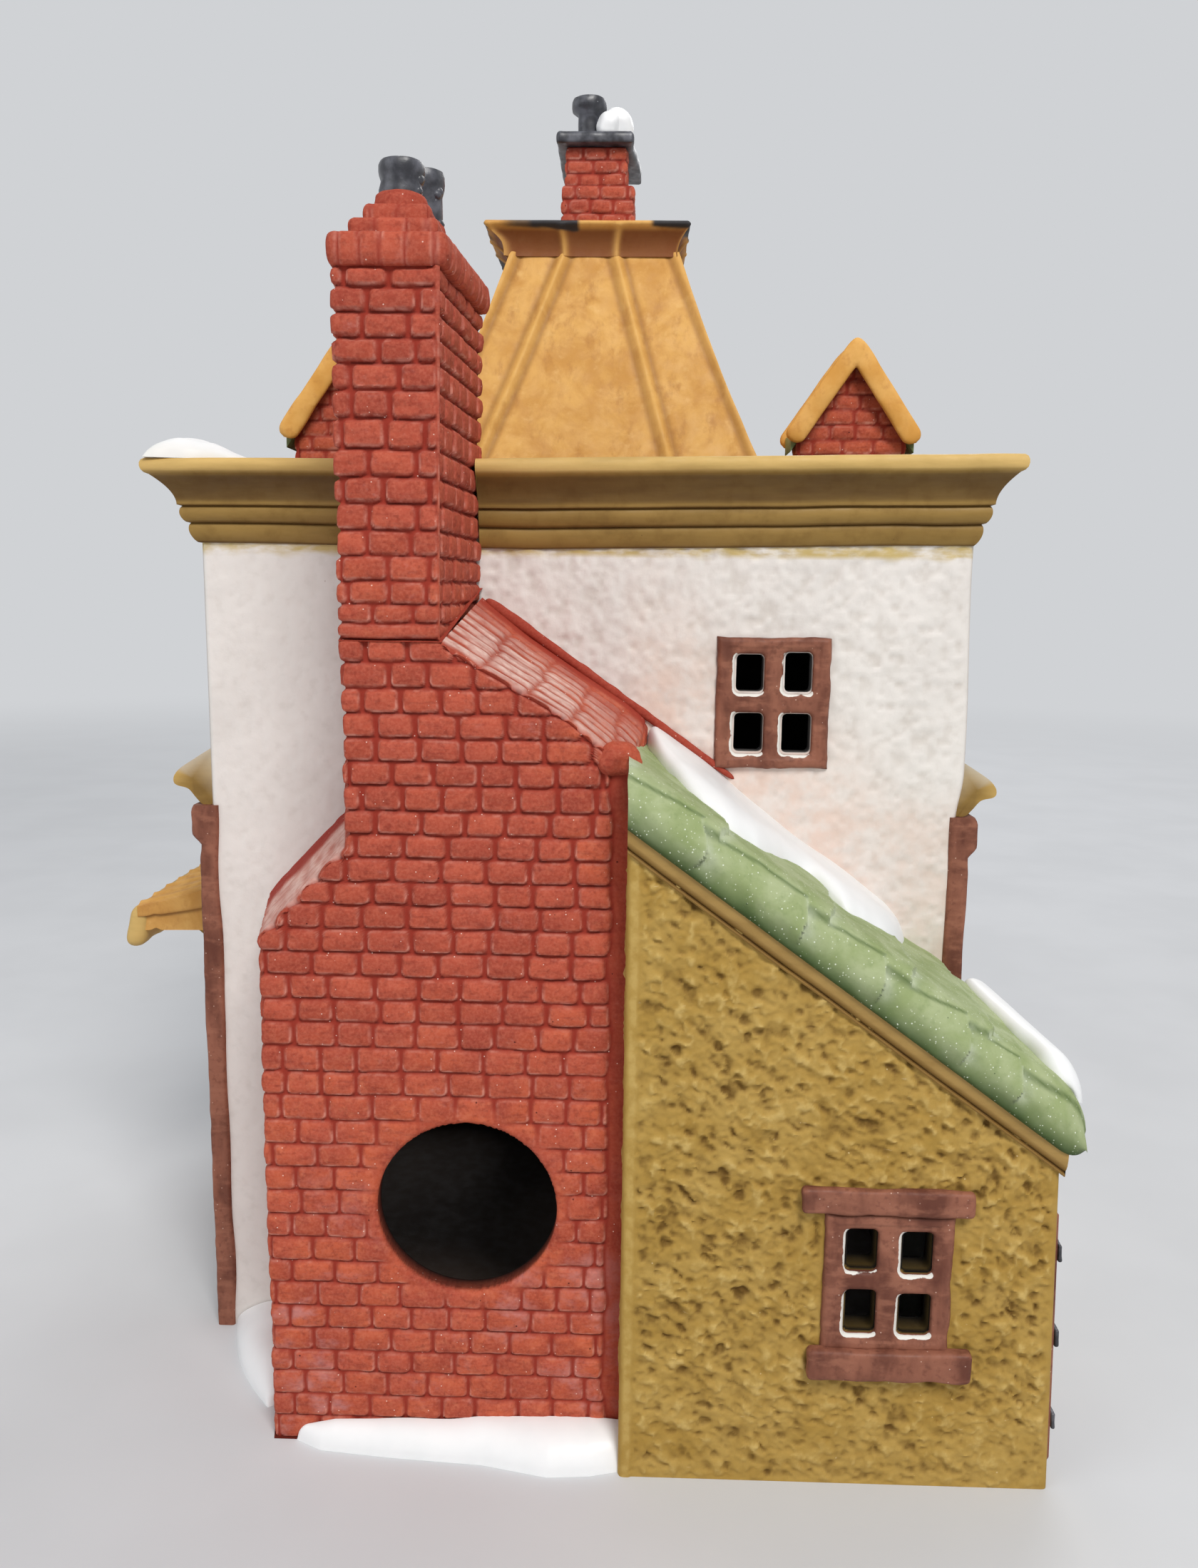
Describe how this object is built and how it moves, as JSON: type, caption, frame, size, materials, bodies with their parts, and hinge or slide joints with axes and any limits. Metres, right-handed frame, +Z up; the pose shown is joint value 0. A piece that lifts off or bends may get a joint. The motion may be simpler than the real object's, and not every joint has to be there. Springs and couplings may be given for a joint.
{
  "type": "ceramic christmas village house",
  "caption": "Lit porcelain village house with a brick chimney breast and round lamp hole, white stucco walls, lean-to, moulded cornice, copper mansard roof and snow.",
  "frame": {"origin": "on the ground under the middle of the main block, which is the middle of the base face", "axes": "+Z up; -Y is the rear, with the chimney breast and lamp hole; +Y is the shop front; +X is the lean-to's low side"},
  "size_m": [0.1769, 0.1492, 0.2449],
  "materials": {
    "brick": "matt painted bisque porcelain",
    "white_stucco": "rough white bisque porcelain",
    "bare_porcelain": "bare bisque porcelain",
    "deck_grey": "matt painted bisque porcelain",
    "olive_trim": "matt painted bisque porcelain",
    "brown_trim": "satin painted bisque porcelain",
    "olive_stucco": "matt painted bisque porcelain",
    "green_tile": "matt painted bisque porcelain",
    "copper_paint": "matt painted bisque porcelain, copper colour",
    "ochre_trim": "matt painted bisque porcelain",
    "black_paint": "satin painted bisque porcelain",
    "snow_glaze": "gloss white glaze",
    "stone_paint": "matt painted bisque porcelain"
  },
  "bodies": {
    "root": {"bargeboard_front_left": "ochre_trim", "bargeboard_front_right": "ochre_trim", "bargeboard_rear_left": "ochre_trim", "bargeboard_rear_right": "ochre_trim", "base_plate": "bare_porcelain", "breast_drift": "snow_glaze", "chimney_breast": "brick", "chimney_cap": "brick", "chimney_crown": "brick", "chimney_pot_far": "black_paint", "chimney_pot_near": "black_paint", "chimney_stack": "brick", "corner_drift": "snow_glaze", "cornice": "olive_trim", "front_door": "brown_trim", "front_step": "stone_paint", "front_wall": "white_stucco", "gable_body_left": "brick", "gable_body_right": "brick", "gable_roof_left": "green_tile", "gable_roof_right": "green_tile", "hood_bracket_front": "olive_trim", "hood_bracket_rear": "olive_trim", "hood_gutter": "olive_trim", "leanto_door": "brown_trim", "leanto_eave_snow": "snow_glaze", "leanto_hinges": "black_paint", "leanto_lintel": "brown_trim", "leanto_moulding": "olive_trim", "leanto_roof": "green_tile", "leanto_sill": "brown_trim", "leanto_snow": "snow_glaze", "leanto_walls": "olive_stucco", "ledge_snow": "snow_glaze", "left_wall": "white_stucco", "mansard_roof": "copper_paint", "post_front_left": "brown_trim", "post_front_right": "brown_trim", "post_rear_left": "brown_trim", "post_rear_right": "brown_trim", "rear_wall": "white_stucco", "right_wall": "white_stucco", "roof_curb": "copper_paint", "roof_deck": "deck_grey", "shop_window_left": "brown_trim", "shop_window_right": "brown_trim", "side_door": "brown_trim", "side_hood": "copper_paint", "side_step": "stone_paint", "string_course": "olive_trim", "top_chimney": "brick", "top_chimney_cap": "black_paint", "top_pot": "black_paint", "top_pot_snow": "snow_glaze", "window_front_upper_left": "brown_trim", "window_front_upper_right": "brown_trim", "window_leanto": "brown_trim", "window_left": "brown_trim", "window_rear": "brown_trim", "window_right": "brown_trim"}
  },
  "joints": []
}
